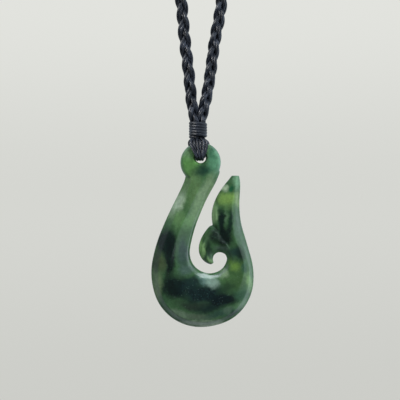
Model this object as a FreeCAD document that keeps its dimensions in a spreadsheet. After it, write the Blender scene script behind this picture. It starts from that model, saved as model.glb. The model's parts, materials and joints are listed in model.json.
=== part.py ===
import FreeCAD, Part
import math
import os
import Sketcher

from FreeCAD import Placement, Rotation, Vector

# Hei matau pendant: a carved greenstone fish hook on a plaited neck cord.
# Millimetres. +Z is up, +X is right as seen from the front, the front looks towards -Y.
# The finished part has its origin under the nape binding, where the cord rests on a neck.
# Every shape below is first drawn about the centre of the hook's bore, and then let down by bore_drop.

# Driving dimensions: alias, value, meaning
SIZES = [
    ("bore_drop", 330.0, "neck rest down to the centre of the bore"),
    ("bore_radius", 1.45, "bore through the head of the hook"),
    ("bore_rim_radius", 2.05, "countersunk rim of the bore at the face"),
    ("bore_rim_depth", 0.7, "depth of that countersink"),
    ("head_radius", 5.5, "round head, seen from the front"),
    ("head_below_bore", 1.22, "centre of the head below the bore"),
    ("head_half_thickness", 2.15, "half thickness in the middle of the head"),
    ("head_shoulder_radius", 4.75, "where the face turns into the rim"),
    ("head_shoulder_half", 1.45, "half thickness at that shoulder"),
    ("crest_half_thickness", 3.3, "half thickness of the stone at its fullest"),
    ("edge_round_depth", 0.45, "how far in the round of an edge reaches"),
    ("edge_round_half", 0.5, "half thickness of a rounded edge"),
    ("notch_x", 5.2, "centre of the round notch under the barb"),
    ("notch_drop", 27.5, "the same, below the bore"),
    ("notch_radius", 1.85, "radius of that notch"),
    ("lashing_x", -0.7, "axis of the lashing, left of the bore"),
    ("lashing_bottom", 5.05, "lower end of the lashing above the bore"),
    ("lashing_turns", 6.0, "turns of the lashing"),
    ("turn_pitch", 0.84, "one turn to the next"),
    ("turn_radius", 0.46, "half the height of a turn, which overlaps the next"),
    ("lashing_turn_circle", 1.85, "centre line of the lashing's turns"),
    ("lashing_bore", 1.5, "inside of the lashing"),
    ("stem_radius", 1.4, "bundle of threads inside the lashing"),
    ("stem_end_gap", 0.1, "top of that bundle below the top of the lashing"),
    ("stem_foot_depth", 0.25, "foot of that bundle below the lashing"),
    ("core_overlap", 0.1, "how far a winding's core reaches into its turns"),
    ("binding_turns", 8.0, "turns of the nape binding"),
    ("binding_turn_circle", 1.7, "centre line of those turns"),
    ("binding_overhang", 0.276, "core of the nape binding beyond the middle of its end turns"),
    ("crown_radius", 49.0, "half the width of the cord's loop at the neck"),
    ("crown_start_angle", -10.0, "where the straight legs run into the crown"),
    ("crown_run_in", 5.0, "straight stretch of a leg before the nape binding"),
    ("plait_half_width", 1.03, "sideways swing of a strand about the leg's middle"),
    ("plait_half_depth", 0.85, "front to back swing of a strand"),
    ("strand_width", 0.9, "one strand, side to side"),
    ("strand_thickness", 0.8, "one strand, front to back"),
    ("left_pitch", 14.0, "length in which a left strand comes round again"),
    ("right_pitch", 12.5, "the same on the right leg"),
    ("gather_length", 4.5, "last stretch of a leg, where its strands draw together"),
    ("gather_width", 0.66, "share of the sideways swing left at the end"),
    ("strand_end_gap", 0.15, "strand end to the binding that holds it"),
]

# Stations round the hook, from inside the head to the tip of the point.
# outer and inner: the two edges seen from the front, from the bore's centre (mm).
# crest_at: crest line, share of the way from outer to inner edge.
# crest: half thickness there, share of crest_half_thickness.
# outer_in, inner_in: bevel lines, mm in from each edge; outer_rise, inner_rise: share of the crest's height.
STATION_COLUMNS = ("outer_x", "outer_z", "inner_x", "inner_z", "crest_at", "crest",
                   "outer_in", "outer_rise", "inner_in", "inner_rise")
STATIONS = [
    (-4.30, -3.30, 5.30, -3.60, 0.56, 0.52, 1.6, 0.80, 1.2, 0.78),
    (-4.35, -5.90, 4.10, -6.70, 0.57, 0.66, 1.8, 0.78, 1.2, 0.64),
    (-5.50, -8.65, 2.60, -9.45, 0.57, 0.74, 1.9, 0.77, 1.0, 0.54),
    (-7.10, -11.90, 1.22, -12.15, 0.58, 0.81, 2.0, 0.76, 0.9, 0.49),
    (-8.80, -15.40, 0.00, -15.00, 0.58, 0.86, 2.2, 0.74, 0.9, 0.46),
    (-10.40, -19.00, -1.12, -17.85, 0.56, 0.89, 2.3, 0.73, 0.9, 0.46),
    (-11.70, -22.40, -2.00, -20.75, 0.54, 0.92, 2.3, 0.72, 0.9, 0.46),
    (-12.70, -25.90, -2.65, -23.50, 0.52, 0.94, 2.3, 0.71, 0.9, 0.48),
    (-13.40, -30.10, -2.90, -26.10, 0.48, 0.97, 2.2, 0.68, 1.0, 0.55),
    (-13.10, -34.60, -2.20, -28.55, 0.46, 0.99, 2.0, 0.64, 1.2, 0.66),
    (-11.45, -39.40, -0.60, -30.30, 0.46, 1.00, 1.8, 0.62, 1.3, 0.74),
    (-7.40, -43.75, 1.05, -31.10, 0.46, 1.00, 1.7, 0.62, 1.3, 0.76),
    (-2.00, -45.85, 2.40, -31.35, 0.46, 1.00, 1.7, 0.62, 1.3, 0.76),
    (3.40, -45.65, 3.75, -31.15, 0.46, 1.00, 1.7, 0.62, 1.3, 0.76),
    (8.70, -43.60, 5.10, -30.60, 0.45, 0.99, 1.7, 0.62, 1.3, 0.74),
    (12.50, -39.65, 6.35, -29.45, 0.43, 0.97, 1.8, 0.64, 1.3, 0.70),
    (14.30, -34.60, 7.05, -27.90, 0.40, 0.93, 1.8, 0.68, 1.6, 0.66),
    (14.15, -28.90, 6.90, -26.60, 0.37, 0.86, 1.4, 0.66, 1.9, 0.66),
    (13.25, -25.40, 5.80, -24.80, 0.36, 0.80, 1.4, 0.66, 1.6, 0.66),
    (12.20, -21.80, 4.20, -21.60, 0.37, 0.74, 1.5, 0.68, 1.4, 0.62),
    (11.10, -17.95, 3.15, -17.60, 0.32, 0.69, 1.3, 0.68, 1.2, 0.56),
    (10.60, -13.60, 3.15, -14.00, 0.30, 0.63, 1.2, 0.68, 1.1, 0.54),
    (10.70, -9.80, 4.50, -10.25, 0.29, 0.53, 1.1, 0.70, 1.0, 0.56),
    (10.80, -7.10, 6.60, -7.10, 0.32, 0.42, 0.9, 0.76, 0.9, 0.64),
    (10.45, -4.80, 8.40, -4.80, 0.45, 0.27, 0.6, 0.94, 0.6, 0.92),
]

# Stations of the barb, swept round the notch's centre from inside the point limb to the barb's tip.
# angle: degrees from +X; reach: notch centre to the outer edge (mm); crest_at and crest as above,
# crest_at counted from the outer edge.
BARB_COLUMNS = ("angle", "reach", "crest_at", "crest", "outer_in", "outer_rise", "inner_in", "inner_rise")
BARB_STATIONS = [
    (50.0, 5.20, 0.45, 0.62, 1.1, 0.74, 0.9, 0.52),
    (70.0, 6.40, 0.45, 0.66, 1.1, 0.74, 0.9, 0.52),
    (90.0, 7.80, 0.50, 0.66, 1.2, 0.70, 0.9, 0.52),
    (105.0, 9.45, 0.52, 0.66, 1.4, 0.66, 0.9, 0.52),
    (120.0, 8.35, 0.46, 0.63, 1.2, 0.66, 0.8, 0.54),
    (135.0, 7.40, 0.46, 0.59, 1.1, 0.68, 0.8, 0.56),
    (150.0, 6.60, 0.47, 0.54, 1.0, 0.70, 0.7, 0.60),
    (165.0, 5.75, 0.48, 0.49, 0.9, 0.72, 0.6, 0.64),
    (180.0, 4.80, 0.49, 0.43, 0.7, 0.76, 0.6, 0.70),
    (196.0, 3.75, 0.50, 0.36, 0.5, 0.82, 0.5, 0.80),
    (211.0, 2.80, 0.50, 0.26, 0.25, 0.92, 0.25, 0.90),
]

# Half of the thread bundle that goes through the bore, from the stem down the front face into the bore.
# x: right of the bore; forward: towards the viewer; up: above the bore's centre; width: side to side;
# depth: front to back; lean: turn of the section about X, 0 when the threads run straight down,
# 90 when they run to the back.
THREAD_COLUMNS = ("x", "forward", "up", "width", "depth", "lean")
THREAD_STATIONS = [
    (-0.68, 0.60, 5.05, 2.2, 1.00, -28.0),
    (-0.60, 1.54, 4.50, 3.6, 0.80, -44.0),
    (-0.45, 2.32, 3.50, 4.9, 0.80, -18.0),
    (-0.25, 2.68, 2.00, 4.3, 0.85, -6.0),
    (-0.10, 2.64, 0.85, 3.1, 1.20, 32.0),
    (0.00, 1.50, 0.22, 2.2, 1.90, 82.0),
]
THREAD_INSIDE = (0.00, 0.00, 0.20, 2.1, 2.00, 90.0)

# Middle line of each visible leg: x and height above the bore's centre (mm), by hand from the picture.
LEFT_LEG = [(-1.7, 10.45), (-2.1, 13.0), (-2.6, 16.5), (-2.95, 20.5), (-3.4, 25.0), (-4.1, 30.0),
            (-4.7, 35.5), (-4.95, 40.5), (-5.8, 47.0), (-8.2, 59.0)]
RIGHT_LEG = [(0.3, 10.45), (0.75, 13.0), (1.6, 16.5), (2.35, 20.5), (2.9, 25.0), (3.5, 29.5),
             (4.2, 34.0), (5.1, 38.0), (6.0, 45.0), (8.4, 57.0)]

# on a narrow section the rounds of the two edges shrink to this share of its width
NARROW_ROUND_SHARE = 0.15

# a round starts no higher than this share of the bevel beside it
LOW_ROUND_SHARE = 0.75

# least flat of a thread section, so that every section has the same four edges
LEAST_FLAT = 0.05

# a higher degree overshoots on the barb's tight curl
BARB_LOFT_DEGREE = 2

STRAND_SIDES = 6
RINGS_PER_PITCH = 8
STRANDS = 3
STRAIGHT_POINTS = 4
CROWN_STEP = 12.5
BRAID_START_PHASE = math.radians(90)

doc = FreeCAD.newDocument("hei_matau_pendant")


def make_sheet():
    sheet = doc.addObject("Spreadsheet::Sheet", "sizes")
    for row, (alias, value, meaning) in enumerate(SIZES, start=1):
        sheet.set(f"A{row}", meaning)
        sheet.set(f"B{row}", str(value))
        sheet.setAlias(f"B{row}", alias)
    doc.recompute()
    return sheet


sheet = make_sheet()


def size(alias):
    return float(sheet.get(alias))


def bind(obj, **expressions):
    for name, expression in expressions.items():
        obj.setExpression(name.replace("__", "."), expression)


def rows(columns, table):
    return [dict(zip(columns, row)) for row in table]


def let_down(obj, label):
    """Name a finished piece and lower it from the bore's frame to the part's frame."""
    obj.Label = label
    obj.setExpression("Placement.Base.z", "-sizes.bore_drop")
    return obj


# Hook

def stone_section(outer, inner, crest_at, crest, outer_in, outer_rise, inner_in, inner_rise):
    """One closed section of the stone: two rounded edges, joined front and back by four flat facets."""
    width = (inner - outer).Length
    across = (inner - outer) / width
    crest_height = crest * size("crest_half_thickness")
    round_depth = min(size("edge_round_depth"), NARROW_ROUND_SHARE * width)
    round_half = min(size("edge_round_half"), LOW_ROUND_SHARE * outer_rise * crest_height)

    def point(inward, height):
        return outer + across * inward + Vector(0, height, 0)

    profile = [
        (round_depth, round_half),
        (outer_in, outer_rise * crest_height),
        (crest_at * width, crest_height),
        (width - inner_in, inner_rise * crest_height),
        (width - round_depth, round_half),
    ]
    front = [point(inward, -height) for inward, height in profile]
    back = [point(inward, height) for inward, height in profile]
    edges = [Part.makeLine(a, b) for a, b in zip(front, front[1:])]
    edges.append(Part.Arc(front[-1], inner, back[-1]).toShape())
    edges += [Part.makeLine(a, b) for a, b in zip(back[::-1], back[-2::-1])]
    edges.append(Part.Arc(back[0], outer, front[0]).toShape())
    return Part.Wire(edges)


def hook_limb():
    sections = []
    for row in rows(STATION_COLUMNS, STATIONS):
        outer = Vector(row.pop("outer_x"), 0, row.pop("outer_z"))
        inner = Vector(row.pop("inner_x"), 0, row.pop("inner_z"))
        sections.append(stone_section(outer, inner, **row))
    limb = doc.addObject("Part::Feature", "limb")
    limb.Shape = Part.makeLoft(sections, True, False, False)
    return limb


def hook_barb():
    centre = Vector(size("notch_x"), 0, -size("notch_drop"))
    sections = []
    for row in rows(BARB_COLUMNS, BARB_STATIONS):
        angle = math.radians(row.pop("angle"))
        ray = Vector(math.cos(angle), 0, math.sin(angle))
        outer = centre + ray * row.pop("reach")
        inner = centre + ray * size("notch_radius")
        sections.append(stone_section(outer, inner, **row))
    barb = doc.addObject("Part::Feature", "barb")
    barb.Shape = Part.makeLoft(sections, True, False, False, BARB_LOFT_DEGREE)
    return barb


def hook_head():
    """Round head: a domed profile turned about the axis that runs front to back."""
    body = doc.addObject("PartDesign::Body", "head")
    plane = next(f for f in body.Origin.OriginFeatures if f.Role == "XY_Plane")
    sketch = body.newObject("Sketcher::SketchObject", "head_profile")
    sketch.AttachmentSupport = (plane, "")
    sketch.MapMode = "FlatFace"
    face = size("head_half_thickness")
    radius = size("head_radius")
    shoulder_radius = size("head_shoulder_radius")
    shoulder = size("head_shoulder_half")
    middle = 0.5 * shoulder_radius
    middle_height = face - 0.25 * (face - shoulder)

    def arc(a, b, c):
        return sketch.addGeometry(Part.Arc(Vector(*a, 0), Vector(*b, 0), Vector(*c, 0)))

    front = arc((0, -face), (middle, -middle_height), (shoulder_radius, -shoulder))
    rim = arc((shoulder_radius, -shoulder), (radius, 0), (shoulder_radius, shoulder))
    back = arc((shoulder_radius, shoulder), (middle, middle_height), (0, face))
    axis = sketch.addGeometry(Part.LineSegment(Vector(0, face, 0), Vector(0, -face, 0)))
    start, end, centre = 1, 2, 3
    origin, vertical_axis = -1, -2
    for first, second in ((front, rim), (rim, back), (back, axis), (axis, front)):
        sketch.addConstraint(Sketcher.Constraint("Coincident", first, end, second, start))
    for arc_index in (front, back):
        sketch.addConstraint(Sketcher.Constraint("PointOnObject", arc_index, centre, vertical_axis))
    sketch.addConstraint(Sketcher.Constraint("Vertical", axis))
    sketch.addConstraint(Sketcher.Constraint("PointOnObject", front, start, vertical_axis))
    measures = [
        ("DistanceY", (front, start, origin, 1), face, "sizes.head_half_thickness"),
        ("DistanceY", (origin, 1, back, end), face, "sizes.head_half_thickness"),
        ("DistanceX", (origin, 1, rim, start), shoulder_radius, "sizes.head_shoulder_radius"),
        ("DistanceY", (rim, start, origin, 1), shoulder, "sizes.head_shoulder_half"),
        ("DistanceX", (origin, 1, rim, end), shoulder_radius, "sizes.head_shoulder_radius"),
        ("DistanceY", (origin, 1, rim, end), shoulder, "sizes.head_shoulder_half"),
    ]
    for kind, where, value, expression in measures:
        index = sketch.addConstraint(Sketcher.Constraint(kind, *where, value))
        sketch.setExpression(f"Constraints[{index}]", expression)
    bulge = radius - shoulder_radius
    index = sketch.addConstraint(Sketcher.Constraint("Radius", rim, (bulge ** 2 + shoulder ** 2) / (2 * bulge)))
    sagitta = "(sizes.head_radius - sizes.head_shoulder_radius)"
    sketch.setExpression(f"Constraints[{index}]", f"({sagitta}^2 + sizes.head_shoulder_half^2) / (2 * {sagitta})")

    turned = body.newObject("PartDesign::Revolution", "head_turned")
    turned.Profile = sketch
    turned.ReferenceAxis = (sketch, ["V_Axis"])
    turned.Angle = 360
    body.setExpression("Placement.Base.z", "-sizes.head_below_bore")
    return body


def bore_cutter():
    """Bore with a countersunk rim on both faces, along Y."""
    reach = "(sizes.head_half_thickness + 1)"
    bore = doc.addObject("Part::Cylinder", "bore")
    bore.Placement = Placement(Vector(0, 0, 0), Rotation(Vector(1, 0, 0), -90))
    bind(bore, Radius="sizes.bore_radius", Height=f"2 * {reach}", Placement__Base__y=f"-{reach}")
    pieces = [bore]
    slope = "(sizes.bore_rim_radius - sizes.bore_radius) / sizes.bore_rim_depth"
    depth = "(sizes.bore_rim_depth + 1)"
    for name, turn, sign in (("front_rim", 90, "-"), ("back_rim", -90, "")):
        cone = doc.addObject("Part::Cone", name)
        cone.Placement = Placement(Vector(0, 0, 0), Rotation(Vector(1, 0, 0), turn))
        bind(cone, Radius1="sizes.bore_radius", Radius2=f"sizes.bore_radius + {slope} * {depth}", Height=depth,
             Placement__Base__y=f"{sign}(sizes.head_half_thickness - sizes.bore_rim_depth)")
        pieces.append(cone)
    cutter = doc.addObject("Part::MultiFuse", "bore_cutter")
    cutter.Shapes = pieces
    return cutter


def make_hook():
    stone = doc.addObject("Part::MultiFuse", "stone")
    stone.Shapes = [hook_limb(), hook_barb(), hook_head()]
    hook = doc.addObject("Part::Cut", "hook_carved")
    hook.Base = stone
    hook.Tool = bore_cutter()
    return let_down(hook, "hook")


# Lashing and nape binding

def turn_rings(name, count, ring_circle, axis_turn):
    """Overlapping rings, one for each turn, along the axis that axis_turn lays Z on."""
    rings = []
    direction = axis_turn.multVec(Vector(0, 0, 1))
    for index in range(count):
        ring = doc.addObject("Part::Torus", f"{name}_turn")
        ring.Placement = Placement(Vector(0, 0, 0), axis_turn)
        bind(ring, Radius1=ring_circle, Radius2="sizes.turn_radius")
        step = f"({index} - (sizes.{name}_turns - 1) / 2) * sizes.turn_pitch"
        for letter, share in zip("xyz", direction):
            ring.setExpression(f"Placement.Base.{letter}", f"{round(share)} * {step}")
        rings.append(ring)
    return rings


def core_cylinder(name, radius, length, axis_turn):
    core = doc.addObject("Part::Cylinder", name)
    core.Placement = Placement(Vector(0, 0, 0), axis_turn)
    bind(core, Radius=radius, Height=length)
    for letter, share in zip("xyz", axis_turn.multVec(Vector(0, 0, 1))):
        core.setExpression(f"Placement.Base.{letter}", f"{-round(share)} * {length} / 2")
    return core


def make_lashing():
    upright = Rotation()
    spread = "((sizes.lashing_turns - 1) * sizes.turn_pitch)"
    solid = doc.addObject("Part::MultiFuse", "lashing_solid")
    solid.Shapes = turn_rings("lashing", int(size("lashing_turns")), "sizes.lashing_turn_circle", upright)
    solid.Shapes += [core_cylinder("lashing_core", "sizes.lashing_turn_circle + sizes.core_overlap",
                                   spread, upright)]
    inside = core_cylinder("lashing_inside", "sizes.lashing_bore", f"(2 * {spread})", upright)
    lashing = doc.addObject("Part::Cut", "lashing_hollow")
    lashing.Base = solid
    lashing.Tool = inside
    lashing.Label = "lashing"
    height = "sizes.lashing_bottom + sizes.turn_radius + (sizes.lashing_turns - 1) * sizes.turn_pitch / 2"
    bind(lashing, Placement__Base__x="sizes.lashing_x", Placement__Base__z=f"{height} - sizes.bore_drop")
    return lashing


def make_nape_binding():
    sideways = Rotation(Vector(0, 1, 0), 90)
    spread = "((sizes.binding_turns - 1) * sizes.turn_pitch)"
    binding = doc.addObject("Part::MultiFuse", "nape_binding_wound")
    binding.Shapes = turn_rings("binding", int(size("binding_turns")), "sizes.binding_turn_circle", sideways)
    binding.Shapes += [core_cylinder("binding_core", "sizes.binding_turn_circle + sizes.core_overlap",
                                     f"({spread} + 2 * sizes.binding_overhang)", sideways)]
    binding.Label = "nape_binding"
    bind(binding, Placement__Base__z="sizes.binding_turn_circle + sizes.turn_radius")
    return binding


# Thread loop

def thread_section(x, forward, up, width, depth, lean):
    """A flat bundle: two straight sides joined by round ends, square to the way the threads run."""
    half_flat = 0.5 * max(width - depth, LEAST_FLAT)
    half_depth = 0.5 * depth
    corners = [Vector(-half_flat, -half_depth, 0), Vector(half_flat, -half_depth, 0),
               Vector(half_flat, half_depth, 0), Vector(-half_flat, half_depth, 0)]
    right_end = Vector(half_flat + half_depth, 0, 0)
    left_end = -right_end
    wire = Part.Wire([
        Part.makeLine(corners[0], corners[1]),
        Part.Arc(corners[1], right_end, corners[2]).toShape(),
        Part.makeLine(corners[2], corners[3]),
        Part.Arc(corners[3], left_end, corners[0]).toShape(),
    ])
    wire.Placement = Placement(Vector(x, -forward, up), Rotation(Vector(1, 0, 0), lean))
    return wire


def make_thread_loop():
    front = rows(THREAD_COLUMNS, THREAD_STATIONS)
    back = [dict(row, forward=-row["forward"], lean=180 - row["lean"]) for row in front[::-1]]
    inside = rows(THREAD_COLUMNS, [THREAD_INSIDE])
    sections = [thread_section(**row) for row in front + inside + back]
    band = doc.addObject("Part::Feature", "thread_band")
    band.Shape = Part.makeLoft(sections, True, False, False)
    # the stem stands on the lashing's axis, a little left of the bore
    stem = doc.addObject("Part::Cylinder", "thread_stem")
    stem_foot = "(sizes.lashing_bottom - sizes.stem_foot_depth)"
    top = "(sizes.lashing_bottom + 2 * sizes.turn_radius + (sizes.lashing_turns - 1) * sizes.turn_pitch)"
    bind(stem, Radius="sizes.stem_radius", Height=f"{top} - sizes.stem_end_gap - {stem_foot}",
         Placement__Base__x="sizes.lashing_x", Placement__Base__z=stem_foot)
    loop = doc.addObject("Part::MultiFuse", "thread_loop_whole")
    loop.Shapes = [band, stem]
    return let_down(loop, "thread_loop")


# Plaited legs

def leg_curve(visible, side):
    """Middle line of a leg: the visible rows, a straight run, then the crown up to the nape binding."""
    radius = size("crown_radius")
    centre_up = size("bore_drop") + size("binding_turn_circle") + size("turn_radius") - radius
    angles = []
    angle = size("crown_start_angle")
    while angle < 90.0 - CROWN_STEP / 2:
        angles.append(math.radians(angle))
        angle += CROWN_STEP
    # control points stand a little outside the circle so that the curve itself keeps its radius
    stand_out = radius * (1 + math.radians(CROWN_STEP) ** 2 / 6)
    crown = [(side * stand_out * math.cos(a), centre_up + stand_out * math.sin(a)) for a in angles]
    last = visible[-1]
    straight = []
    for step in range(1, STRAIGHT_POINTS + 1):
        share = step / (STRAIGHT_POINTS + 1)
        straight.append((last[0] + share * (crown[0][0] - last[0]), last[1] + share * (crown[0][1] - last[1])))
    binding_end = 0.5 * (size("binding_turns") - 1) * size("turn_pitch") + size("binding_overhang")
    end = (side * (binding_end + size("strand_end_gap")), centre_up + radius)
    before_end = (end[0] + side * size("crown_run_in"), end[1])
    points = [Vector(x, 0, up) for x, up in visible + straight + crown + [before_end, end]]
    curve = Part.BSplineCurve()
    curve.buildFromPoles(points, False, 3)
    return curve.toShape()


def strand_solid(middle, pitch, index):
    """One strand of the plait as a closed faceted tube round its weaving path."""
    # the pitch is eased so that both ends come at the same point of the plait
    thirds = round(middle.Length / (pitch / (2 * STRANDS)))
    turns = thirds / (2 * STRANDS)
    ring_count = int(round(turns * RINGS_PER_PITCH)) + 1
    centres = middle.discretize(Number=ring_count)
    spacing = middle.Length / (ring_count - 1)
    depthwise = Vector(0, 1, 0)

    def along(i):
        ahead = centres[min(i + 1, ring_count - 1)]
        behind = centres[max(i - 1, 0)]
        return (ahead - behind).normalize()

    def gather(i):
        from_end = spacing * min(i, ring_count - 1 - i)
        share = min(from_end / size("gather_length"), 1.0)
        eased = share * share * (3 - 2 * share)
        return size("gather_width") + (1 - size("gather_width")) * eased

    path = []
    for i in range(ring_count):
        phase = BRAID_START_PHASE + 2 * math.pi * (turns * i / (ring_count - 1) + index / STRANDS)
        sideways = depthwise.cross(along(i))
        offset = (sideways * (size("plait_half_width") * gather(i) * math.sin(phase))
                  + depthwise * (size("plait_half_depth") * math.sin(2 * phase)))
        path.append(centres[i] + offset)

    points = []
    for i in range(ring_count):
        if i in (0, ring_count - 1):
            direction = along(i)
        else:
            direction = (path[i + 1] - path[i - 1]).normalize()
        wide = depthwise.cross(direction).normalize()
        thick = direction.cross(wide)
        for corner in range(STRAND_SIDES):
            turn = 2 * math.pi * (corner + 0.5) / STRAND_SIDES
            points.append(path[i] + wide * (0.5 * size("strand_width") * math.cos(turn))
                          + thick * (0.5 * size("strand_thickness") * math.sin(turn)))

    triangles = []
    for i in range(ring_count - 1):
        for corner in range(STRAND_SIDES):
            following = (corner + 1) % STRAND_SIDES
            a = i * STRAND_SIDES + corner
            b = i * STRAND_SIDES + following
            c = b + STRAND_SIDES
            d = a + STRAND_SIDES
            triangles += [(a, b, c), (a, c, d)]
    first = (ring_count - 1) * STRAND_SIDES
    for corner in range(1, STRAND_SIDES - 1):
        triangles.append((0, corner + 1, corner))
        triangles.append((first, first + corner, first + corner + 1))

    shell = Part.Shape()
    shell.makeShapeFromMesh((points, triangles), 0.001)
    solid = Part.Solid(Part.Shell(shell.Faces))
    if solid.Volume < 0:
        solid.reverse()
    return solid


def make_leg(name, visible, side, pitch):
    middle = leg_curve(visible, side)
    print(f"{name} leg: {middle.Length:.1f} mm of plait")
    strands = []
    for index in range(STRANDS):
        strand = doc.addObject("Part::Feature", f"{name}_strand_{index + 1}")
        strand.Shape = strand_solid(middle, pitch, index)
        strands.append(let_down(strand, f"{name}_strand_{index + 1}"))
    return strands


pieces = [make_hook(), make_thread_loop(), make_lashing(), make_nape_binding()]
pieces += make_leg("left", LEFT_LEG, -1, size("left_pitch"))
pieces += make_leg("right", RIGHT_LEG, 1, size("right_pitch"))
doc.recompute()

for obj in doc.Objects:
    if "Invalid" in obj.State or "Error" in obj.State:
        raise RuntimeError(f"{obj.Label} failed: {obj.State}")

os.makedirs("parts", exist_ok=True)
for piece in pieces:
    shape = piece.Shape
    if shape.isNull() or not shape.isValid() or len(shape.Solids) != 1:
        raise RuntimeError(f"{piece.Label} is not one valid solid")
    box = shape.BoundBox
    print(f"{piece.Label}: {shape.Volume:.1f} mm3, {len(shape.Faces)} faces, "
          f"x {box.XMin:.2f} {box.XMax:.2f}, y {box.YMin:.2f} {box.YMax:.2f}, z {box.ZMin:.2f} {box.ZMax:.2f}")
    shape.exportStep(f"parts/{piece.Label}.step")
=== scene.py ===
import json
import math

import bpy
import numpy as np
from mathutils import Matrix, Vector

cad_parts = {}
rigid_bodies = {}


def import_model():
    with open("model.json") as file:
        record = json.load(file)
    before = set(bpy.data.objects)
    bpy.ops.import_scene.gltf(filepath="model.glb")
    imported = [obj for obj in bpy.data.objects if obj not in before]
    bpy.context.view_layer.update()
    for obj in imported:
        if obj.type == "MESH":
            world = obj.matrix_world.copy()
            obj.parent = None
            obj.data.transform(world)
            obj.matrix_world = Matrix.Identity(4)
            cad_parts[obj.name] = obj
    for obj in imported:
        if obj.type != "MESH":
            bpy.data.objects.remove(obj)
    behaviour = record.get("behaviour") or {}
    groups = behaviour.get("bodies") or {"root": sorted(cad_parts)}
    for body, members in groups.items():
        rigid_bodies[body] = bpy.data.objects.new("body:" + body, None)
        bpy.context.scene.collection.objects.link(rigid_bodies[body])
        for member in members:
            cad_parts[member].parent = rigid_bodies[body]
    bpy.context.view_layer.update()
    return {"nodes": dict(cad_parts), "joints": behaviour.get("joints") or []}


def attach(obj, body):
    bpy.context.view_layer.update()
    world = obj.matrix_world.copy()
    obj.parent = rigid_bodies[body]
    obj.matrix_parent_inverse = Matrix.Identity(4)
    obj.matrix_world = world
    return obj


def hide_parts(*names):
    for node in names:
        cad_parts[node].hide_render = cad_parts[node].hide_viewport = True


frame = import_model()

# Lengths below are millimetres from the centre of the hook's bore unless a name says otherwise.
# +X is right and +Z up as seen from the front, and the front looks towards -Y.
MM = 0.001
BORE = np.array(frame["joints"][0]["pos_m"])
BORE_DROP = -BORE[2] / MM

# Camera

PHOTO_SIDE_PX = 400
MM_PER_PX = 0.272
BORE_PX = (200.6, 158.0)
CAMERA_DISTANCE = 0.25
SENSOR = 0.036

# Plaited legs, as in the part's source

LEFT_LEG = [(-1.45, 8.4), (-1.7, 10.45), (-2.1, 13.0), (-2.6, 16.5), (-2.95, 20.5), (-3.4, 25.0), (-4.1, 30.0),
            (-4.7, 35.5), (-4.95, 40.5), (-5.8, 47.0), (-8.2, 59.0)]
RIGHT_LEG = [(0.05, 8.4), (0.3, 10.45), (0.75, 13.0), (1.6, 16.5), (2.35, 20.5), (2.9, 25.0), (3.5, 29.5),
             (4.2, 34.0), (5.1, 38.0), (6.0, 45.0), (8.4, 57.0)]
CROWN_RADIUS = 49.0
CROWN_START = -10.0
CROWN_STEP = 12.5
STRAIGHT_POINTS = 4
BINDING_RADIUS = 2.16
BINDING_HALF_LENGTH = 3.2
# how far the plaits end inside the binding, and how straight they run into it
BINDING_TUCK = 1.0
BINDING_RUN_IN = 5.0
LEG_STEP = 0.45
LEFT_PITCH = 14.0
RIGHT_PITCH = 12.5
STRANDS = 3
PLAIT_HALF_WIDTH = 0.92
PLAIT_HALF_DEPTH = 0.68
GATHER_LENGTH = 6.0
GATHER_WIDTH = 0.66
START_PHASE = math.radians(90)
# each strand is three threads laid round each other, once in each length of THREAD_LAY
THREADS_PER_STRAND = 3
THREAD_RADIUS = 0.44
THREAD_OFFSET = 0.37
THREAD_LAY = 13.0

LASHING_X = -0.7
LASHING_BOTTOM = 5.05
LASHING_TOP = 10.15


def bore_points(points):
    """Millimetres from the bore to metres in the row frame."""
    return np.asarray(points, float) * MM + BORE


# Lines

def evenly(line, spacing):
    """The same polyline with its points evenly spaced."""
    steps = np.linalg.norm(np.diff(line, axis=0), axis=1)
    along = np.concatenate([[0], np.cumsum(steps)])
    count = max(int(round(along[-1] / spacing)) + 1, 2)
    wanted = np.linspace(0, along[-1], count)
    return np.stack([np.interp(wanted, along, line[:, axis]) for axis in range(3)], axis=1)


def cubic_line(points, spacing, per_span=60):
    """Clamped uniform cubic B-spline with these control points, as evenly spaced points."""
    points = np.asarray(points, float)
    spans = len(points) - 3
    knots = np.concatenate([[0] * 3, np.arange(spans + 1), [spans] * 3]).astype(float)
    at = np.linspace(0, spans - 1e-9, spans * per_span)[:, None]
    basis = ((knots[:-1] <= at) & (at < knots[1:])).astype(float)
    for degree in (1, 2, 3):
        run = knots[degree:] - knots[:-degree]
        share = np.divide(at - knots[:-degree], run, out=np.zeros((len(at), len(run))), where=run > 0)
        rest = np.where(run > 0, 1 - share, 0)
        basis = share[:, :-1] * basis[:, :-1] + rest[:, 1:] * basis[:, 1:]
    return evenly(basis @ points, spacing)


def directions(line):
    """Unit direction of a line at each of its points."""
    step = np.gradient(line, axis=0)
    return step / np.linalg.norm(step, axis=1, keepdims=True)


def carried_frames(line):
    """For each point two directions square to the line, carried along it without twist."""
    along = directions(line)
    first = np.cross(along[0], (0.0, 1.0, 0.0))
    if np.linalg.norm(first) < 1e-3:
        first = np.cross(along[0], (1.0, 0.0, 0.0))
    side = first / np.linalg.norm(first)
    sides = []
    for direction in along:
        side = side - direction * (side @ direction)
        side = side / np.linalg.norm(side)
        sides.append(side)
    sides = np.array(sides)
    return sides, np.cross(along, sides)


# Meshes

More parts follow.
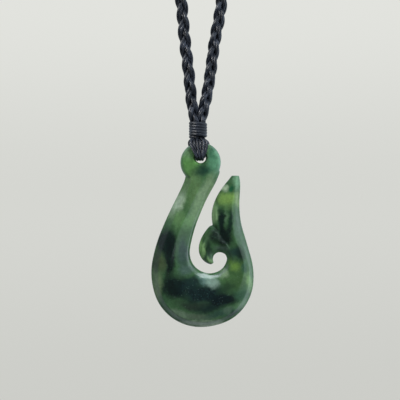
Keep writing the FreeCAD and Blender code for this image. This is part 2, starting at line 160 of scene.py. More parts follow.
class MeshParts:
    """Gathers tubes into one mesh. The UV map holds turn (0 to 1) and length along the thread (mm)."""

    def __init__(self):
        self.points = []
        self.faces = []
        self.uvs = []
        self.count = 0

    def tube(self, line, radius, sides=8):
        """A capped round tube along a line; line and radius in mm."""
        line = np.asarray(line, float)
        wide, thick = carried_frames(line)
        turn = np.linspace(0, 2 * math.pi, sides, endpoint=False)
        rings = [line + wide * (radius * math.cos(a)) + thick * (radius * math.sin(a)) for a in turn]
        points = np.stack(rings, axis=1).reshape(-1, 3)
        steps = np.linalg.norm(np.diff(line, axis=0), axis=1)
        along = np.concatenate([[0], np.cumsum(steps)])
        for i in range(len(line) - 1):
            for side in range(sides):
                following = (side + 1) % sides
                a = self.count + i * sides + side
                b = self.count + i * sides + following
                self.faces.append((a, b, b + sides, a + sides))
                low, high = side / sides, (side + 1) / sides
                self.uvs += [(low, along[i]), (high, along[i]), (high, along[i + 1]), (low, along[i + 1])]
        last = self.count + (len(line) - 1) * sides
        self.faces.append(tuple(self.count + side for side in reversed(range(sides))))
        self.uvs += [(0.5, along[0])] * sides
        self.faces.append(tuple(last + side for side in range(sides)))
        self.uvs += [(0.5, along[-1])] * sides
        self.points.append(points)
        self.count += len(points)

    def build(self, name, material):
        mesh = bpy.data.meshes.new(name)
        mesh.from_pydata(bore_points(np.concatenate(self.points)).tolist(), [], self.faces)
        layer = mesh.uv_layers.new(name="thread")
        layer.data.foreach_set("uv", np.array(self.uvs, np.float32).ravel())
        mesh.validate()
        mesh.update()
        mesh.shade_smooth()
        piece = bpy.data.objects.new(name, mesh)
        bpy.context.scene.collection.objects.link(piece)
        mesh.materials.append(material)
        return piece


# Materials

class Nodes:
    """Short hand for building a node tree. An input goes by its name, or by its place as i0, i1 and so on."""

    def __init__(self, name):
        self.material = bpy.data.materials.new(name)
        self.material.use_nodes = True
        self.tree = self.material.node_tree
        self.shader = self.tree.nodes["Principled BSDF"]

    def add(self, kind, settings=None, **inputs):
        node = self.tree.nodes.new(kind)
        for key, value in (settings or {}).items():
            setattr(node, key, value)
        for key, value in inputs.items():
            self.feed(node, key.replace("_", " "), value)
        return node

    def feed(self, node, key, value):
        socket = node.inputs[int(key[1:])] if key[0] == "i" and key[1:].isdigit() else node.inputs[key]
        if isinstance(value, bpy.types.NodeSocket):
            self.tree.links.new(value, socket)
        else:
            socket.default_value = value

    def math(self, operation, first, second=0.0, clamp=False):
        node = self.add("ShaderNodeMath", {"operation": operation, "use_clamp": clamp}, i0=first, i1=second)
        return node.outputs[0]

    def mix(self, factor, first, second, blend="MIX"):
        node = self.tree.nodes.new("ShaderNodeMix")
        node.data_type = "RGBA"
        node.blend_type = blend
        for index, value in ((0, factor), (6, first), (7, second)):
            if isinstance(value, bpy.types.NodeSocket):
                self.tree.links.new(value, node.inputs[index])
            else:
                node.inputs[index].default_value = value
        return node.outputs[2]

    def smooth(self, value, low, high, to_low=0.0, to_high=1.0):
        node = self.tree.nodes.new("ShaderNodeMapRange")
        node.interpolation_type = "SMOOTHSTEP"
        for index, item in enumerate((value, low, high, to_low, to_high)):
            if isinstance(item, bpy.types.NodeSocket):
                self.tree.links.new(item, node.inputs[index])
            else:
                node.inputs[index].default_value = item
        return node.outputs[0]

    def surface(self, **inputs):
        for key, value in inputs.items():
            self.feed(self.shader, key.replace("_", " "), value)


def linear(red, green, blue):
    """An 8-bit display colour as Blender's linear colour."""
    def one(value):
        share = value / 255
        return share / 12.92 if share <= 0.04045 else ((share + 0.055) / 1.055) ** 2.4
    return (one(red), one(green), one(blue), 1.0)


def noise(nodes, place, scale, detail=3.0, roughness=0.5):
    texture = nodes.add("ShaderNodeTexNoise", i0=place)
    texture.inputs["Scale"].default_value = scale
    texture.inputs["Detail"].default_value = detail
    texture.inputs["Roughness"].default_value = roughness
    return texture


# painted shade: the darkest thread colour, laid in the grooves between the plies
THREAD_GROOVE_SHADE = (14, 16, 21)
THREAD_BODY = (31, 35, 43)
# painted sheen: the waxy patches are coloured lighter to stand for the wax's shine
THREAD_PAINTED_SHEEN = (54, 59, 70)
THREAD_FIBRE_SCALE = 2600.0
THREAD_WAX_AND_SHEEN_SCALE = 420.0
FIBRE_DEPTH = 0.06


def thread_material(name, ply_pitch, ply_depth, plies=3):
    """Black waxed thread: plies twisted round each other, fine fibres, and a dull wax shine; the grooves get
    painted shade and the waxy patches a painted sheen.
    """
    nodes = Nodes(name)
    uv = nodes.add("ShaderNodeUVMap", {"uv_map": "thread"}).outputs[0]
    parts = nodes.add("ShaderNodeSeparateXYZ", i0=uv)
    turns = nodes.math("MULTIPLY", parts.outputs[0], float(plies))
    lengths = nodes.math("DIVIDE", parts.outputs[1], ply_pitch)
    phase = nodes.math("MULTIPLY", nodes.math("ADD", turns, lengths), 2 * math.pi)
    wave = nodes.math("ABSOLUTE", nodes.math("SINE", nodes.math("MULTIPLY", phase, 0.5)))
    place = nodes.add("ShaderNodeTexCoord").outputs["Object"]
    fibre = noise(nodes, place, THREAD_FIBRE_SCALE)
    wax_and_sheen = noise(nodes, place, THREAD_WAX_AND_SHEEN_SCALE, 2.0)
    height = nodes.math("ADD", nodes.math("MULTIPLY", wave, ply_depth),
                        nodes.math("MULTIPLY", fibre.outputs[0], FIBRE_DEPTH))
    bump = nodes.add("ShaderNodeBump", Height=height)
    bump.inputs["Strength"].default_value = 1.0
    bump.inputs["Distance"].default_value = MM
    # painted shade: the thread is coloured darker in the grooves between its plies
    groove_shade = nodes.smooth(wave, 0.0, 0.45)
    colour = nodes.mix(groove_shade, linear(*THREAD_GROOVE_SHADE), linear(*THREAD_BODY))
    # painted sheen: lighter colour on the waxy patches, which are also less rough
    colour_with_sheen = nodes.mix(nodes.smooth(wax_and_sheen.outputs[0], 0.45, 0.75), colour, linear(*THREAD_PAINTED_SHEEN))
    nodes.surface(Base_Color=colour_with_sheen, Roughness=nodes.smooth(wax_and_sheen.outputs[0], 0.3, 0.7, 0.5, 0.36),
                  Normal=bump.outputs[0])
    nodes.shader.inputs["Specular IOR Level"].default_value = 0.45
    return nodes.material


# Colours of the stone, and some painted reflections of the polish, as soft-edged patches that go right through
# it, laid one over the other.
# x, z: middle (mm from the bore); wide, high: half sizes; tilt: degrees anticlockwise;
# edge: share of the patch that fades out; cover: how strongly it covers; red, green, blue: display colour.
PATCH_COLUMNS = ("x", "z", "wide", "high", "tilt", "edge", "cover", "red", "green", "blue")
HEAD_PATCHES = [
    (-3.4, -1.3, 3.2, 4.6, 0, 0.6, 0.85, 96, 146, 78),
    (4.0, -1.0, 2.4, 4.4, 0, 0.6, 0.85, 88, 140, 108),
    (2.9, 1.4, 0.9, 2.6, 0, 0.8, 0.70, 40, 92, 66),
    (0.5, -3.4, 2.6, 1.6, 10, 0.8, 0.90, 24, 60, 48),
    (3.6, -5.6, 1.0, 1.2, 0, 0.9, 0.60, 40, 85, 62),
    (-4.0, 1.6, 1.6, 2.0, 0, 0.9, 0.60, 116, 150, 112),
]
SHANK_PATCHES = [
    (-3.0, -8.5, 3.2, 5.5, -20, 0.7, 0.80, 100, 130, 84),
    (1.2, -9.5, 1.9, 6.0, -27, 0.5, 0.85, 116, 142, 104),
    (-1.4, -14.5, 1.8, 4.5, -24, 0.6, 0.80, 108, 140, 96),
    (-3.8, -11.0, 1.2, 6.0, -26, 0.9, 0.50, 60, 98, 56),
    # painted reflection: the whitish patch on the shank's outer left edge
    (-6.2, -12.7, 1.4, 3.9, -28, 0.8, 0.90, 172, 192, 164),
    (-6.4, -16.5, 2.2, 2.6, -26, 0.7, 0.70, 100, 138, 86),
    (-3.8, -17.8, 1.8, 2.2, -20, 0.7, 0.70, 98, 140, 86),
    (-9.2, -22.6, 2.9, 3.9, -16, 0.5, 0.95, 6, 24, 22),
    (-8.4, -27.5, 1.6, 6.0, -2, 0.6, 0.95, 4, 20, 18),
    (-12.1, -27.6, 1.3, 4.2, -6, 0.7, 0.85, 44, 58, 36),
    (-10.6, -28.5, 1.1, 3.0, 0, 0.8, 0.60, 72, 76, 48),
    (-4.6, -20.5, 1.6, 2.2, -15, 0.6, 0.80, 60, 92, 58),
    (-4.8, -25.8, 1.9, 4.6, -6, 0.6, 0.85, 52, 70, 68),
    (-4.0, -30.5, 2.6, 1.6, 20, 0.7, 0.75, 68, 88, 84),
]
BEND_PATCHES = [
    (-7.0, -35.0, 4.2, 3.6, 10, 0.6, 0.95, 5, 20, 21),
    (-11.6, -34.5, 1.6, 4.5, 8, 0.6, 0.85, 106, 128, 92),
    (-9.4, -39.2, 1.8, 1.6, 30, 0.7, 0.70, 62, 98, 66),
    (0.5, -36.5, 7.0, 3.4, 0, 0.6, 0.95, 11, 28, 33),
    (6.0, -38.5, 5.0, 2.4, 10, 0.6, 0.95, 5, 19, 24),
    (-2.4, -40.0, 4.4, 1.4, -4, 0.8, 0.85, 38, 48, 42),
    (-1.5, -42.8, 6.0, 1.3, -3, 0.8, 0.85, 82, 98, 80),
    (5.5, -42.2, 5.0, 1.0, 10, 0.8, 0.70, 40, 66, 62),
    (-6.0, -42.6, 3.0, 1.3, -28, 0.8, 0.80, 104, 126, 102),
    # painted reflection: the pale band along the bottom bevel
    (1.2, -45.0, 8.0, 1.1, 0, 0.8, 0.90, 164, 180, 156),
    # painted reflection: the next three pale patches under the bend's inner edge, with a thin bright strip,
    # stand for light from above mirrored in the polish
    (1.0, -32.8, 2.4, 1.4, -20, 0.8, 0.60, 96, 128, 128),
    (2.2, -31.9, 3.2, 0.5, -2, 0.8, 0.85, 184, 198, 190),
    (3.2, -33.4, 2.6, 1.5, -20, 0.8, 0.75, 140, 166, 152),
    (8.8, -32.5, 3.6, 3.8, 0, 0.6, 0.95, 62, 94, 54),
    (9.3, -29.0, 1.9, 1.7, 0, 0.7, 0.90, 94, 128, 58),
    (6.4, -31.4, 1.5, 1.2, -30, 0.8, 0.75, 132, 156, 122),
    (12.8, -33.5, 1.2, 3.0, 8, 0.7, 0.85, 108, 144, 90),
    (11.0, -37.0, 2.2, 2.0, 20, 0.7, 0.80, 48, 86, 62),
    (11.2, -39.8, 2.2, 1.1, 35, 0.8, 0.70, 92, 128, 92),
    (8.6, -42.3, 2.2, 0.6, 25, 0.9, 0.80, 24, 50, 42),
    (7.6, -41.4, 1.6, 0.9, 20, 0.8, 0.70, 84, 108, 88),
    (-2.6, -33.8, 3.0, 1.7, 10, 0.7, 0.85, 18, 38, 40),
    (2.2, -40.8, 4.4, 1.3, 4, 0.8, 0.85, 12, 30, 34),
    (6.9, -35.2, 2.6, 1.6, 20, 0.8, 0.75, 30, 54, 36),
]
POINT_PATCHES = [
    (10.0, -6.4, 1.4, 2.6, 0, 0.7, 0.90, 104, 146, 112),
    (8.2, -8.2, 0.8, 1.3, -30, 0.7, 0.90, 20, 82, 52),
    (6.3, -7.9, 1.1, 1.1, -40, 0.8, 0.75, 180, 200, 168),
    (7.0, -11.2, 2.8, 2.1, 0, 0.7, 0.90, 118, 154, 78),
    (7.4, -13.5, 1.8, 1.3, 0, 0.8, 0.70, 84, 118, 70),
    (9.9, -11.6, 1.0, 2.2, 0, 0.8, 0.80, 128, 154, 106),
    (3.6, -14.8, 1.3, 3.0, 0, 0.6, 0.85, 134, 166, 118),
    (5.7, -17.2, 1.1, 3.8, 3, 0.6, 0.95, 9, 28, 24),
    (7.9, -17.5, 0.75, 4.2, 2, 0.7, 0.90, 16, 40, 32),
    (6.7, -16.2, 0.28, 1.6, 5, 0.9, 0.70, 90, 120, 90),
    (6.6, -21.0, 2.4, 2.9, 0, 0.6, 0.95, 4, 18, 16),
    (3.6, -19.8, 1.8, 2.0, -10, 0.7, 0.85, 20, 42, 28),
    (10.2, -18.5, 1.3, 4.8, 6, 0.7, 0.85, 74, 100, 82),
    (12.0, -24.5, 1.3, 4.0, 12, 0.7, 0.85, 72, 100, 78),
    (10.4, -25.5, 1.2, 2.6, 10, 0.8, 0.90, 8, 24, 22),
    (11.8, -29.5, 1.0, 1.8, 0, 0.8, 0.70, 44, 78, 62),
]
BARB_PATCHES = [
    (1.4, -21.8, 1.8, 2.6, -20, 0.7, 0.80, 70, 102, 66),
    (0.3, -25.3, 1.0, 2.8, 2, 0.6, 0.95, 132, 172, 110),
    (2.2, -24.6, 1.0, 2.6, 0, 0.8, 0.90, 14, 36, 24),
    (2.6, -27.6, 1.4, 0.8, -30, 0.8, 0.85, 96, 128, 80),
    (1.2, -27.0, 0.6, 0.9, 0, 0.9, 0.80, 46, 72, 50),
    (5.9, -24.2, 2.2, 1.0, 0, 0.8, 0.85, 78, 98, 86),
    (9.0, -25.4, 1.4, 1.6, 0, 0.8, 0.80, 28, 54, 52),
    (3.7, -21.2, 2.2, 1.8, 0, 0.8, 0.85, 12, 28, 20),
    (1.5, -24.8, 0.8, 1.6, 0, 0.9, 0.80, 24, 50, 26),
]
STONE_AND_REFLECTION_PATCHES = HEAD_PATCHES + SHANK_PATCHES + BEND_PATCHES + POINT_PATCHES + BARB_PATCHES
STONE_BASE = (62, 98, 62)
# how far the patches' edges are blurred and drawn out of shape
PATCH_WARP = 3.4 * MM
# scales of the noise, per metre, from the clouds' torn edges to the finest grain
WARP_SCALE = 260.0
RIPPLE_SCALE = 380.0
MOTTLE_SCALE = 1100.0
GRAIN_SCALE = 5200.0
GRAIN_SHARE = 0.03
# pale specks, painted glints of light caught in small pits of the polish, show in some places below this depth
# under the bore (mm)
SPECK_SCALE = 1700.0
SPECK_FIELD_SCALE = 330.0
SPECKLED_DEPTH = 27.0
SPECKLE_FADE = 4.0
SPECKLE_COVER = 0.2
SPECKLE_GLINT = (140, 168, 158)


def stone_material():
    """Greenstone: clouded from yellow-green to blue-black, a little translucent, with a soft polish; some of
    its reflections and glints are painted into the colour.
    """
    nodes = Nodes("greenstone")
    place = nodes.add("ShaderNodeTexCoord").outputs["Object"]
    warp = noise(nodes, place, WARP_SCALE, 4.0, 0.6)
    shift = nodes.add("ShaderNodeVectorMath", {"operation": "MULTIPLY_ADD"}, i0=warp.outputs["Color"])
    shift.inputs[1].default_value = (PATCH_WARP,) * 3
    shift.inputs[2].default_value = (-0.5 * PATCH_WARP,) * 3
    warped = nodes.add("ShaderNodeVectorMath", {"operation": "ADD"}, i0=place, i1=shift.outputs[0]).outputs[0]

    colour = linear(*STONE_BASE)
    for patch in STONE_AND_REFLECTION_PATCHES:
        row = dict(zip(PATCH_COLUMNS, patch))
        mapping = nodes.add("ShaderNodeMapping", {"vector_type": "TEXTURE"}, Vector=warped)
        mapping.inputs["Location"].default_value = tuple(bore_points((row["x"], 0, row["z"])))
        mapping.inputs["Rotation"].default_value = (0, -math.radians(row["tilt"]), 0)
        mapping.inputs["Scale"].default_value = (row["wide"] * MM, 1.0, row["high"] * MM)
        length = nodes.add("ShaderNodeVectorMath", {"operation": "LENGTH"}, i0=mapping.outputs[0])
        reach = length.outputs["Value"]
        cover = nodes.smooth(reach, 1.0 - row["edge"], 1.0 + 0.5 * row["edge"], row["cover"], 0.0)
        colour = nodes.mix(cover, colour, linear(row["red"], row["green"], row["blue"]))

    mottle = noise(nodes, place, MOTTLE_SCALE, 5.0, 0.65).outputs[0]
    light = nodes.smooth(mottle, 0.35, 0.68, 0.86, 1.14)
    shade = nodes.add("ShaderNodeVectorMath", {"operation": "SCALE"}, i0=colour)
    nodes.feed(shade, "Scale", light)
    colour = shade.outputs[0]

    # painted glints: pale specks low on the hook
    cells = nodes.add("ShaderNodeTexVoronoi", Vector=place)
    cells.inputs["Scale"].default_value = SPECK_SCALE
    dots = nodes.smooth(cells.outputs["Distance"], 0.10, 0.24, 1.0, 0.0)
    where = nodes.smooth(noise(nodes, place, SPECK_FIELD_SCALE).outputs[0], 0.46, 0.60)
    up = nodes.add("ShaderNodeSeparateXYZ", i0=place).outputs[2]
    speckled_top = -(BORE_DROP + SPECKLED_DEPTH) * MM
    low_down = nodes.smooth(up, speckled_top - SPECKLE_FADE * MM, speckled_top, 1.0, 0.0)
    speckle_glints = nodes.math("MULTIPLY", nodes.math("MULTIPLY", dots, where), low_down)
    colour = nodes.mix(nodes.math("MULTIPLY", speckle_glints, SPECKLE_COVER), colour, linear(*SPECKLE_GLINT))

    ripple = noise(nodes, place, RIPPLE_SCALE, 2.0).outputs[0]
    grain = noise(nodes, place, GRAIN_SCALE, 2.0).outputs[0]
    height = nodes.math("ADD", ripple, nodes.math("MULTIPLY", grain, GRAIN_SHARE))
    bump = nodes.add("ShaderNodeBump", Height=height)
    bump.inputs["Strength"].default_value = 0.22
    bump.inputs["Distance"].default_value = 0.00025
    nodes.surface(Base_Color=colour, Roughness=nodes.smooth(mottle, 0.3, 0.7, 0.16, 0.26),
                  Normal=bump.outputs[0])
    nodes.shader.inputs["IOR"].default_value = 1.6
    nodes.shader.inputs["Subsurface Weight"].default_value = 0.2
    nodes.shader.inputs["Subsurface Radius"].default_value = (0.7, 1.0, 0.7)
    nodes.shader.inputs["Subsurface Scale"].default_value = 0.0008
    return nodes.material


# Hook

HOOK_VOXEL = 0.00019
HOOK_SMOOTH_STEPS = 1


def make_hook():
    """The carved stone, with the tool's crisp ridges rubbed down as polishing does."""
    source = frame["nodes"]["hook"]
    piece = bpy.data.objects.new("hook_polished", source.data.copy())
    piece.data.materials.clear()
    bpy.context.scene.collection.objects.link(piece)
    remesh = piece.modifiers.new("even", "REMESH")
    remesh.mode = "VOXEL"
    remesh.voxel_size = HOOK_VOXEL
    rub = piece.modifiers.new("rub", "SMOOTH")
    rub.factor = 0.5
    rub.iterations = HOOK_SMOOTH_STEPS
    made = bpy.data.meshes.new_from_object(piece.evaluated_get(bpy.context.evaluated_depsgraph_get()))
    piece.modifiers.clear()
    piece.data = made
    made.materials.clear()
    made.materials.append(stone_material())
    made.shade_smooth()
    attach(piece, "hook")
    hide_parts("hook")
    return piece


# Cord

def leg_line(visible, side, spacing):
    """The middle line of one plait, from the lashing up round the neck into the binding."""
    centre_up = BORE_DROP + BINDING_RADIUS - CROWN_RADIUS
    stand_out = CROWN_RADIUS * (1 + math.radians(CROWN_STEP) ** 2 / 6)
    angles = np.radians(np.arange(CROWN_START, 90.0 - CROWN_STEP / 2, CROWN_STEP))
    crown = [(side * stand_out * math.cos(a), centre_up + stand_out * math.sin(a)) for a in angles]
    last = visible[-1]
    shares = [step / (STRAIGHT_POINTS + 1) for step in range(1, STRAIGHT_POINTS + 1)]
    straight = [(last[0] + share * (crown[0][0] - last[0]), last[1] + share * (crown[0][1] - last[1]))
                for share in shares]
    end = (side * (BINDING_HALF_LENGTH - BINDING_TUCK), centre_up + CROWN_RADIUS)
    before_end = (end[0] + side * BINDING_RUN_IN, end[1])
    points = [(x, 0, up) for x, up in visible + straight + crown + [before_end, end]]
    return cubic_line(points, spacing)


def strand_lines(middle, pitch, index):
    """The thread lines of one strand of a plait."""
    steps = np.linalg.norm(np.diff(middle, axis=0), axis=1)
    along = np.concatenate([[0], np.cumsum(steps)])
    length = along[-1]
    thirds = round(length / (pitch / (2 * STRANDS)))
    turns = thirds / (2 * STRANDS)
    share = np.clip(np.minimum(along, length - along) / GATHER_LENGTH, 0, 1)
    gather = (GATHER_WIDTH + (1 - GATHER_WIDTH) * share * share * (3 - 2 * share))[:, None]
    phase = START_PHASE + 2 * math.pi * (turns * along / length + index / STRANDS)
    depthwise = np.array([0.0, 1.0, 0.0])
    sideways = np.cross(depthwise, directions(middle))
    weave = (sideways * gather * (PLAIT_HALF_WIDTH * np.sin(phase))[:, None]
             + depthwise * (PLAIT_HALF_DEPTH * np.sin(2 * phase))[:, None])
    path = middle + weave
    wide, thick = carried_frames(path)
    lines = []
    for thread in range(THREADS_PER_STRAND):
        turn = 2 * math.pi * (along / THREAD_LAY + thread / THREADS_PER_STRAND)
        around = wide * np.cos(turn)[:, None] + thick * np.sin(turn)[:, None]
        lines.append(path + around * THREAD_OFFSET * gather)
    return lines


def make_legs(material):
    legs = [("left", LEFT_LEG, -1, LEFT_PITCH), ("right", RIGHT_LEG, 1, RIGHT_PITCH)]
    for name, visible, side, pitch in legs:
        middle = leg_line(visible, side, LEG_STEP)
        for index in range(STRANDS):
            parts = MeshParts()
            for line in strand_lines(middle, pitch, index):
                parts.tube(line, THREAD_RADIUS, sides=8)
            node = f"{name}_strand_{index + 1}"
            piece = parts.build(f"{node}_threads", material)
            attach(piece, "cord")
            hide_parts(node)


# Lashing

def tucked_circle(radius, turns, steps, tuck_turns=0.3, tuck_share=0.62):
    """Radius along a winding whose two ends dive under its own turns."""
    from_end = np.minimum(steps, 1 - steps) * turns
    share = np.clip(from_end / tuck_turns, 0, 1)
    return radius * (tuck_share + (1 - tuck_share) * share * share * (3 - 2 * share))


LASHING_TURNS = 5.6
LASHING_CIRCLE = 2.0
LASHING_THREAD = 0.49
LASHING_START = math.radians(60)
LASHING_STEPS = 460


def make_lashing(material):
    steps = np.linspace(0, 1, LASHING_STEPS)
    angle = 2 * math.pi * LASHING_TURNS * steps + LASHING_START
    circle = tucked_circle(LASHING_CIRCLE, LASHING_TURNS, steps)
    up = LASHING_TOP - LASHING_THREAD + (LASHING_BOTTOM - LASHING_TOP + 2 * LASHING_THREAD) * steps
    line = np.stack([LASHING_X + circle * np.cos(angle), circle * np.sin(angle), up], axis=1)
    parts = MeshParts()
    parts.tube(line, LASHING_THREAD, sides=12)
    piece = parts.build("lashing_wound", material)
    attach(piece, "cord")
    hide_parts("lashing")


BINDING_TURNS = 7.6
BINDING_CIRCLE = 1.72
BINDING_THREAD = 0.43
BINDING_STEPS = 560
BINDING_OVERHANG = 0.2


def make_nape_binding(material):
    steps = np.linspace(0, 1, BINDING_STEPS)
    angle = 2 * math.pi * BINDING_TURNS * steps
    circle = tucked_circle(BINDING_CIRCLE, BINDING_TURNS, steps)
    across = (BINDING_HALF_LENGTH + BINDING_OVERHANG - BINDING_THREAD) * (2 * steps - 1)
    middle_up = BORE_DROP + BINDING_RADIUS
    line = np.stack([across, circle * np.cos(angle), middle_up + circle * np.sin(angle)], axis=1)
    parts = MeshParts()
    parts.tube(line, BINDING_THREAD, sides=10)
    piece = parts.build("nape_binding_wound", material)
    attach(piece, "cord")
    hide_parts("nape_binding")


# Threads through the bore

LOOP_THREADS = 6
LOOP_THREAD_RADIUS = 0.40
LOOP_STEP = 0.18
# forward: towards the viewer; up: above the bore; spread: half distance between the outer threads;
# stack: how far neighbouring threads stand one behind the other
LOOP_COLUMNS = ("x", "forward", "up", "spread", "stack")
LOOP_FRONT = [
    (-0.70, 0.62, 7.2, 1.00, 0.25),
    (-0.70, 0.66, 6.2, 1.05, 0.25),
    (-0.68, 0.80, 5.2, 1.15, 0.25),
    (-0.60, 1.62, 4.6, 2.15, 0.12),
    (-0.45, 2.34, 3.5, 2.20, 0.05),
    (-0.25, 2.72, 1.8, 1.60, 0.14),
    (-0.10, 2.66, 0.3, 0.95, 0.32),
    (0.00, 1.55, -0.10, 0.72, 0.38),
]
LOOP_INSIDE = (0.00, 0.00, 0.05, 0.70, 0.38)
# the threads at the back bulge further out, so that two of them show beside the front ones
LOOP_BACK_SPREAD = 1.2


def make_thread_loop(material):
    front = [dict(zip(LOOP_COLUMNS, row)) for row in LOOP_FRONT]
    inside = dict(zip(LOOP_COLUMNS, LOOP_INSIDE))
    back = [dict(row, forward=-row["forward"], spread=LOOP_BACK_SPREAD * row["spread"]) for row in front[::-1]]
    rows = front + [inside] + back
    middle = np.array([(row["x"], -row["forward"], row["up"]) for row in rows])
    along = directions(middle)
    outward = np.cross((1.0, 0.0, 0.0), along)
    parts = MeshParts()
    for index in range(LOOP_THREADS):
        across = 2 * index / (LOOP_THREADS - 1) - 1
        layer = 1 if index % 2 else -1
        spread = np.array([row["spread"] for row in rows])[:, None]
        stack = np.array([row["stack"] for row in rows])[:, None]
        points = middle + np.array([[across, 0, 0]]) * spread + outward * (layer * stack)
        ends = np.concatenate([points[:1] * 2 - points[1:2], points, points[-1:] * 2 - points[-2:-1]])
        parts.tube(cubic_line(ends, LOOP_STEP), LOOP_THREAD_RADIUS, sides=10)
    piece = parts.build("thread_loop_threads", material)
    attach(piece, "cord")
    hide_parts("thread_loop")


# Studio

STUDIO_RADIUS = 1.7
STUDIO_FLOOR = -0.82
STUDIO_CEILING = 1.5
# painted light: the paper glows by itself, lighter towards the top and darker towards the bottom
PAPER_LOW = (204, 205, 200)
PAPER_MIDDLE = (213, 214, 209)
PAPER_HIGH = (226, 227, 222)
# heights on the far wall (m) that stand behind the bottom, middle and top of the picture
PAPER_HEIGHTS = (-0.77, -0.34, 0.09)


def studio_glow_material():
    nodes = Nodes("studio_paper_glow")
    place = nodes.add("ShaderNodeTexCoord").outputs["Object"]
    height = nodes.add("ShaderNodeSeparateXYZ", i0=place).outputs[2]
    low, middle, high = PAPER_HEIGHTS
    colour = nodes.mix(nodes.smooth(height, low, middle), linear(*PAPER_LOW), linear(*PAPER_MIDDLE))
    colour = nodes.mix(nodes.smooth(height, middle, high), colour, linear(*PAPER_HIGH))
    # painted light: the paper's colour is given out as glow, not lit by the lamps
    nodes.surface(Emission_Color=colour)
    nodes.shader.inputs["Base Color"].default_value = (0.0, 0.0, 0.0, 1.0)
    nodes.shader.inputs["Emission Strength"].default_value = 1.0
    nodes.shader.inputs["Specular IOR Level"].default_value = 0.0
    return nodes.material


def make_studio():
    """A pale floor that curves up into a round wall and a ceiling."""
    corner = 0.45
    corner_steps = 8
    profile = [(0.0, STUDIO_FLOOR), (STUDIO_RADIUS - corner, STUDIO_FLOOR)]
    for step in range(1, corner_steps + 1):
        angle = math.radians(90 * step / corner_steps)
        profile.append((STUDIO_RADIUS - corner + corner * math.sin(angle),
                        STUDIO_FLOOR + corner - corner * math.cos(angle)))
    profile += [(STUDIO_RADIUS, STUDIO_CEILING), (0.0, STUDIO_CEILING)]
    segments = 96
    points = [(0.0, 0.0, profile[0][1])]
    faces = []
    for radius, up in profile[1:-1]:
        for step in range(segments):
            angle = 2 * math.pi * step / segments
            points.append((radius * math.cos(angle), radius * math.sin(angle), up))
    points.append((0.0, 0.0, profile[-1][1]))
    rings = len(profile) - 2
    for step in range(segments):
        following = (step + 1) % segments
        faces.append((0, 1 + step, 1 + following))
        for ring in range(rings - 1):
            low = 1 + ring * segments
            faces.append((low + step, low + segments + step, low + segments + following, low + following))
        top = 1 + (rings - 1) * segments
        faces.append((top + step, len(points) - 1, top + following))
    mesh = bpy.data.meshes.new("studio")
    mesh.from_pydata(points, [], faces)
    mesh.shade_smooth()
    mesh.materials.append(studio_glow_material())
    studio = bpy.data.objects.new("studio", mesh)
    # the paper is only looked at; the sky below lights the object
    studio.visible_diffuse = False
    studio.visible_glossy = False
    studio.visible_transmission = False
    bpy.context.scene.collection.objects.link(studio)


# radiance of the sky: behind the camera, behind the object, and what the right, left and top add
SKY_FRONT = 0.10
SKY_BACK = 0.40
SKY_RIGHT = 0.75
SKY_LEFT = 0.15
SKY_ABOVE = 0.60
SKY_TINT = (0.84, 0.97, 1.08, 1.0)
# each adds its radiance where the direction's part along an axis goes from low to high
SKY_COLUMNS = ("axis", "low", "high", "radiance")
SKY_PARTS = [
    (1, -0.1, 0.5, SKY_BACK),
    (0, 0.45, 0.85, SKY_RIGHT),
    (0, -0.5, -0.9, SKY_LEFT),
    (2, 0.35, 0.9, SKY_ABOVE),
]


def make_sky():
    """Soft light from behind, above and the right, as pale paper and a window give it."""
    world = bpy.data.worlds.new("sky")
    world.use_nodes = True
    tree = world.node_tree
    background = tree.nodes["Background"]

    def add(kind, **inputs):
        node = tree.nodes.new(kind)
        for key, value in inputs.items():
            socket = node.inputs[int(key[1:])]
            if isinstance(value, bpy.types.NodeSocket):
                tree.links.new(value, socket)
            else:
                socket.default_value = value
        return node

    def ramp(value, low, high, top):
        node = add("ShaderNodeMapRange", i0=value, i1=low, i2=high, i3=0.0, i4=top)
        node.interpolation_type = "SMOOTHSTEP"
        return node.outputs[0]

    direction = tree.nodes.new("ShaderNodeTexCoord").outputs["Generated"]
    parts = add("ShaderNodeSeparateXYZ", i0=direction)
    strength = SKY_FRONT
    for part in SKY_PARTS:
        row = dict(zip(SKY_COLUMNS, part))
        more = ramp(parts.outputs[row["axis"]], row["low"], row["high"], row["radiance"])
        strength = add("ShaderNodeMath", i0=strength, i1=more).outputs[0]
    tree.links.new(strength, background.inputs["Strength"])
    background.inputs["Color"].default_value = SKY_TINT
    bpy.context.scene.world = world


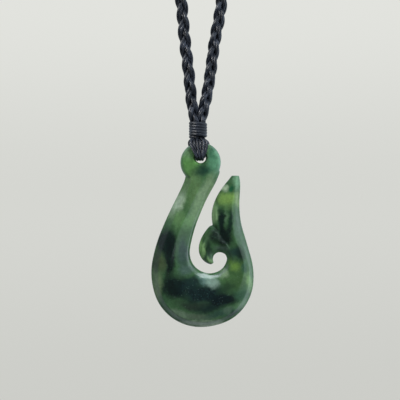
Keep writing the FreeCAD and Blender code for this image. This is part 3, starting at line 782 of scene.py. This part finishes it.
def soft_light(name, place, aim, size, power):
    """A round soft box that lights surfaces but isn't seen as a spot in the polish."""
    light = bpy.data.lights.new(name, "AREA")
    light.shape = "DISK"
    light.size = size
    light.energy = power
    lamp = bpy.data.objects.new(name, light)
    lamp.location = place
    lamp.rotation_mode = "QUATERNION"
    lamp.rotation_quaternion = (Vector(aim) - Vector(place)).to_track_quat("-Z", "Y")
    lamp.visible_glossy = False
    bpy.context.scene.collection.objects.link(lamp)
    return lamp


LIGHT_AIM = (0, 0, -0.35)


def make_lights():
    soft_light("key", (0.65, -0.80, 0.30), LIGHT_AIM, size=0.7, power=14.0)
    soft_light("fill_left", (-0.8, -0.7, 0.0), LIGHT_AIM, size=0.7, power=3.0)
    # the wax on the threads shines where the stone's polish mirrors nothing
    sheen = soft_light("thread_sheen", (-0.80, -0.65, 0.25), LIGHT_AIM, size=0.40, power=16.0)
    sheen.visible_glossy = True
    sheen.visible_diffuse = False
    threads = bpy.data.collections.new("threads")
    for piece in bpy.context.scene.collection.objects:
        if piece.name.endswith(("_threads", "_wound")):
            threads.objects.link(piece)
    sheen.light_linking.receiver_collection = threads


def make_camera():
    half_side = 0.5 * PHOTO_SIDE_PX
    middle = bore_points(((half_side - BORE_PX[0]) * MM_PER_PX, 0, (BORE_PX[1] - half_side) * MM_PER_PX))
    data = bpy.data.cameras.new("camera")
    data.sensor_width = SENSOR / MM
    data.lens = CAMERA_DISTANCE * data.sensor_width / (PHOTO_SIDE_PX * MM_PER_PX * MM)
    data.clip_start = 0.01
    camera = bpy.data.objects.new("camera", data)
    camera.location = (middle[0], -CAMERA_DISTANCE, middle[2])
    camera.rotation_euler = (math.radians(90), 0, 0)
    bpy.context.scene.collection.objects.link(camera)
    bpy.context.scene.camera = camera


bpy.context.scene.view_settings.view_transform = "Standard"
make_camera()
thread = thread_material("waxed_thread", ply_pitch=1.5, ply_depth=0.05)
coarse_thread = thread_material("waxed_thread_coarse", ply_pitch=2.4, ply_depth=0.14)
make_legs(thread)
make_lashing(thread)
make_nape_binding(thread)
make_thread_loop(coarse_thread)
make_hook()
make_studio()
make_sky()
make_lights()
